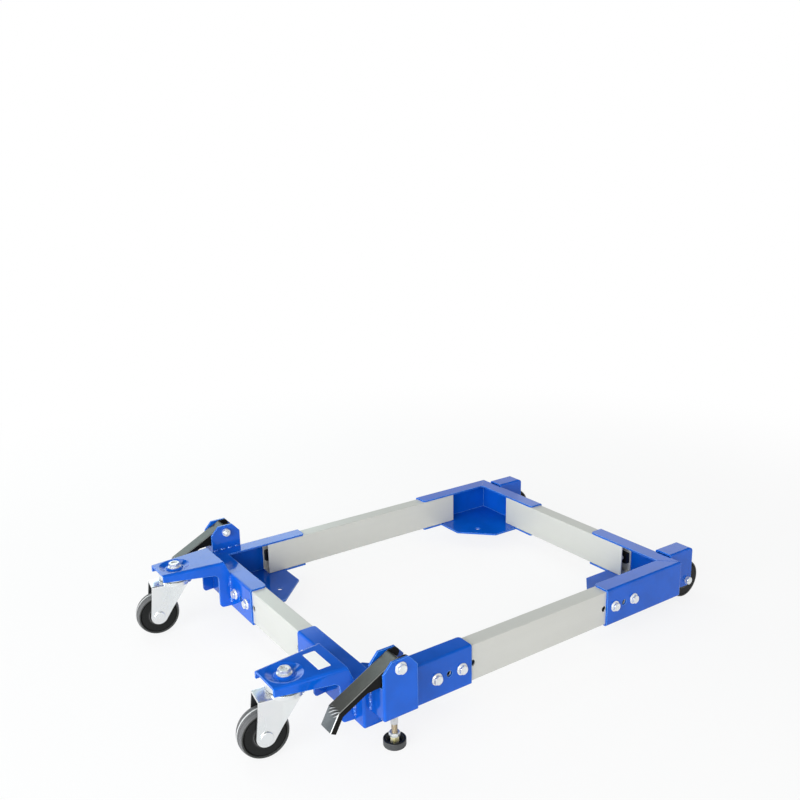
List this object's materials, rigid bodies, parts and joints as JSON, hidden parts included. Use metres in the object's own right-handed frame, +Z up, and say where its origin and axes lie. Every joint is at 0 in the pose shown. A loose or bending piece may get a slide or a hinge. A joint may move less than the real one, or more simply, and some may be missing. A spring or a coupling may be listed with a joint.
{
  "type": "machine mobile base",
  "caption": "Rolling floor base for a workshop machine: blue corner brackets on box-section rails, swivel casters in front, fixed wheels behind, pedal-operated levelling feet.",
  "frame": {"origin": "on the floor, under the centre of the whole base's outline", "axes": "+Z up; +Y along the base, towards the fixed wheels; +X to the right of someone who stands behind the casters and looks towards the fixed wheels"},
  "size_m": [0.5732, 0.8306, 0.1291],
  "materials": {
    "blue_powder_coat": "glossy blue powder coat",
    "silver_rail": "satin light grey paint",
    "bright_zinc": "bright zinc plate",
    "fork_zinc": "bright zinc plate on pressed sheet",
    "spring_steel": "bare spring wire",
    "wheel_rubber": "matt black rubber",
    "wheel_core": "moulded dark plastic",
    "pedal_black": "satin black paint",
    "cam_steel": "machined steel",
    "foot_zinc": "yellow zinc plate",
    "foot_rubber": "matt black rubber"
  },
  "bodies": {
    "frame": {"left_caster_arm": "blue_powder_coat", "right_caster_arm": "blue_powder_coat", "left_wheel_housing": "blue_powder_coat", "right_wheel_housing": "blue_powder_coat", "left_pedal_clevis": "blue_powder_coat", "right_pedal_clevis": "blue_powder_coat", "left_inner_cheek": "blue_powder_coat", "right_inner_cheek": "blue_powder_coat", "front_left_corner": "blue_powder_coat", "front_right_corner": "blue_powder_coat", "rear_left_corner": "blue_powder_coat", "rear_right_corner": "blue_powder_coat", "front_rail": "silver_rail", "rear_rail": "silver_rail", "left_side_rail": "silver_rail", "right_side_rail": "silver_rail", "rail_bolts": "bright_zinc", "rail_nut_bars": "bright_zinc", "kingpin_bolts": "bright_zinc", "kingpin_nuts": "bright_zinc", "caster_races": "bright_zinc", "rear_axle_bolts": "bright_zinc", "rear_axle_nuts": "bright_zinc", "rear_axle_sleeves": "bright_zinc", "pivot_bolts": "bright_zinc", "pivot_nuts": "bright_zinc", "pivot_sleeves": "bright_zinc"},
    "left_caster": {"left_fork": "fork_zinc", "left_ball_ring": "bright_zinc", "left_caster_axle": "fork_zinc", "left_caster_axle_nut": "bright_zinc", "left_caster_sleeve": "bright_zinc"},
    "left_caster_wheel": {"left_caster_hub": "wheel_core", "left_caster_tyre": "wheel_rubber"},
    "left_rear_wheel": {"left_rear_hub": "wheel_core", "left_rear_tyre": "wheel_rubber"},
    "left_pedal_lever": {"left_pedal": "pedal_black", "left_pedal_cam": "cam_steel"},
    "left_plunger": {"left_foot_plunger": "cam_steel", "left_return_spring": "spring_steel"},
    "left_leveller": {"left_foot_stem": "foot_zinc", "left_foot_nut": "bright_zinc", "left_foot_pad": "foot_rubber"},
    "right_caster": {"right_fork": "fork_zinc", "right_ball_ring": "bright_zinc", "right_caster_axle": "fork_zinc", "right_caster_axle_nut": "bright_zinc", "right_caster_sleeve": "bright_zinc"},
    "right_caster_wheel": {"right_caster_hub": "wheel_core", "right_caster_tyre": "wheel_rubber"},
    "right_rear_wheel": {"right_rear_hub": "wheel_core", "right_rear_tyre": "wheel_rubber"},
    "right_pedal_lever": {"right_pedal": "pedal_black", "right_pedal_cam": "cam_steel"},
    "right_plunger": {"right_foot_plunger": "cam_steel", "right_return_spring": "spring_steel"},
    "right_leveller": {"right_foot_stem": "foot_zinc", "right_foot_nut": "bright_zinc", "right_foot_pad": "foot_rubber"}
  },
  "joints": [
    {"name": "left_caster_swivel", "type": "hinge", "parent": "frame", "child": "left_caster", "pos_m": [-0.19, -0.35019, 0.081], "axis": [0, 0, 1], "continuous": true},
    {"name": "left_caster_roll", "type": "hinge", "parent": "left_caster", "child": "left_caster_wheel", "pos_m": [-0.19445, -0.38188, 0.0345], "axis": [0.9903, -0.1392, 0], "continuous": true},
    {"name": "left_rear_roll", "type": "hinge", "parent": "frame", "child": "left_rear_wheel", "pos_m": [-0.212, 0.38181, 0.0335], "axis": [1, 0, 0], "continuous": true},
    {"name": "left_pedal_lift", "type": "hinge", "parent": "frame", "child": "left_pedal_lever", "pos_m": [-0.264, -0.23719, 0.117], "axis": [-1, 0, 0], "range_deg": [0, 60]},
    {"name": "left_foot_lift", "type": "slide", "parent": "frame", "child": "left_plunger", "axis": [0, 0, 1], "range_m": [0, 0.008], "deforming": ["left_return_spring"]},
    {"name": "left_foot_level", "type": "slide", "parent": "left_plunger", "child": "left_leveller", "axis": [0, 0, 1], "range_m": [-0.01, 0.008]},
    {"name": "right_caster_swivel", "type": "hinge", "parent": "frame", "child": "right_caster", "pos_m": [0.19, -0.35019, 0.081], "axis": [0, 0, 1], "continuous": true},
    {"name": "right_caster_roll", "type": "hinge", "parent": "right_caster", "child": "right_caster_wheel", "pos_m": [0.18555, -0.38188, 0.0345], "axis": [0.9903, -0.1392, 0], "continuous": true},
    {"name": "right_rear_roll", "type": "hinge", "parent": "frame", "child": "right_rear_wheel", "pos_m": [0.212, 0.38181, 0.0335], "axis": [1, 0, 0], "continuous": true},
    {"name": "right_pedal_lift", "type": "hinge", "parent": "frame", "child": "right_pedal_lever", "pos_m": [0.264, -0.23719, 0.117], "axis": [-1, 0, 0], "range_deg": [0, 60]},
    {"name": "right_foot_lift", "type": "slide", "parent": "frame", "child": "right_plunger", "axis": [0, 0, 1], "range_m": [0, 0.008], "deforming": ["right_return_spring"]},
    {"name": "right_foot_level", "type": "slide", "parent": "right_plunger", "child": "right_leveller", "axis": [0, 0, 1], "range_m": [-0.01, 0.008]}
  ],
  "couplings": [
    {"joint": "left_foot_lift", "follows": "left_pedal_lift", "m_per_rad": 0.0076394},
    {"joint": "right_foot_lift", "follows": "right_pedal_lift", "m_per_rad": 0.0076394}
  ]
}
